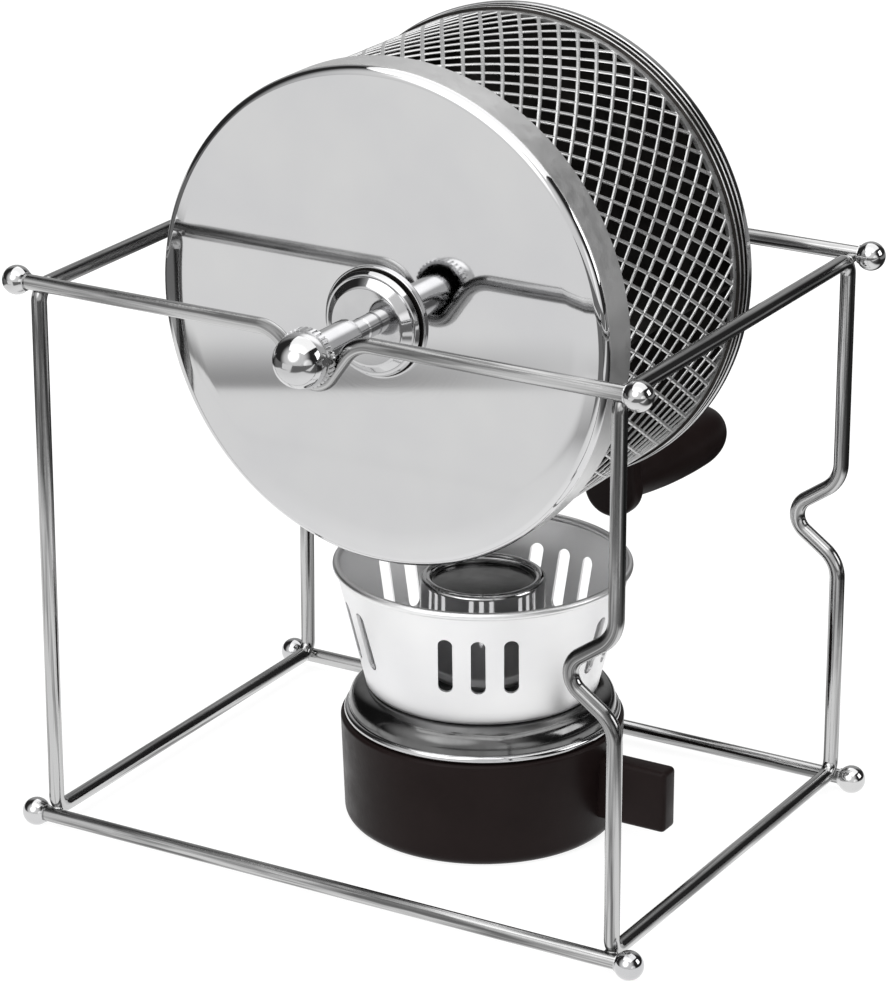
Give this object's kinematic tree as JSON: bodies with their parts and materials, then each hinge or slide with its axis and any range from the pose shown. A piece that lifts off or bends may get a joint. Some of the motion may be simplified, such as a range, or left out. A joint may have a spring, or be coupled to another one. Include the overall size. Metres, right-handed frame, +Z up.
{
  "type": "coffee roaster",
  "caption": "Hand-cranked coffee roaster: a mesh drum with a bright pull-off lid turns in a chromed wire stand over a spirit burner with a slotted wind shield.",
  "frame": {"origin": "on the table top, in the middle of the stand", "axes": "+Z up, +Y to the rear along the drum axis towards the crank, +X to the right"},
  "size_m": [0.1846, 0.2066, 0.2107],
  "materials": {
    "wire_chrome": "plated wire",
    "bright_chrome": "bright plating",
    "polished_plate": "mirror polish",
    "mesh_steel": "satin",
    "plain_steel": "plain",
    "brown_moulding": "semi-gloss",
    "shield_aluminium": "satin",
    "tube_brass": "plain",
    "wick_cotton": "packed cotton"
  },
  "bodies": {
    "stand": {"left_side_loop": "wire_chrome", "right_side_loop": "wire_chrome", "front_top_rail": "wire_chrome", "rear_top_rail": "wire_chrome", "front_bottom_rail": "wire_chrome", "rear_bottom_rail": "wire_chrome", "foot_balls": "bright_chrome", "top_balls": "bright_chrome"},
    "drum": {"mesh_wall": "mesh_steel", "front_hoop": "mesh_steel", "rear_hoop": "mesh_steel", "rear_cap": "polished_plate", "rear_hub": "bright_chrome", "rear_trunnion": "bright_chrome", "drum_nut": "plain_steel", "stirring_vanes": "mesh_steel", "crank_arm": "brown_moulding", "crank_nut": "plain_steel", "grip_screw": "plain_steel"},
    "drum_lid": {"front_cap": "polished_plate", "lid_hub": "bright_chrome", "front_trunnion": "bright_chrome", "ball_knob": "bright_chrome", "lid_nut": "plain_steel"},
    "crank_grip": {"grip": "brown_moulding"},
    "burner": {"burner_base": "brown_moulding", "fuel_tank": "plain_steel", "burner_lid": "bright_chrome", "wick_tube": "tube_brass", "wick": "wick_cotton"},
    "shield": {"wind_shield": "shield_aluminium"},
    "snuffer": {"snuffer_cap": "bright_chrome"}
  },
  "joints": [
    {"name": "drum_spin", "type": "hinge", "parent": "stand", "child": "drum", "pos_m": [0, 0, 0.1462], "axis": [0, 1, 0], "continuous": true},
    {"name": "lid_pull", "type": "slide", "parent": "drum", "child": "drum_lid", "axis": [0, -1, 0], "range_m": [0, 0.012]},
    {"name": "grip_spin", "type": "hinge", "parent": "drum", "child": "crank_grip", "pos_m": [0.01017, 0.1027, 0.06998], "axis": [0, 1, 0], "continuous": true},
    {"name": "burner_slide", "type": "slide", "parent": "stand", "child": "burner", "axis": [1, 0, 0], "range_m": [-0.045, 0.012]},
    {"name": "shield_lift", "type": "slide", "parent": "burner", "child": "shield", "axis": [0, 0, 1], "range_m": [0, 0.008]},
    {"name": "cap_lift", "type": "slide", "parent": "burner", "child": "snuffer", "axis": [0, 0, 1], "range_m": [0, 0.012]}
  ]
}
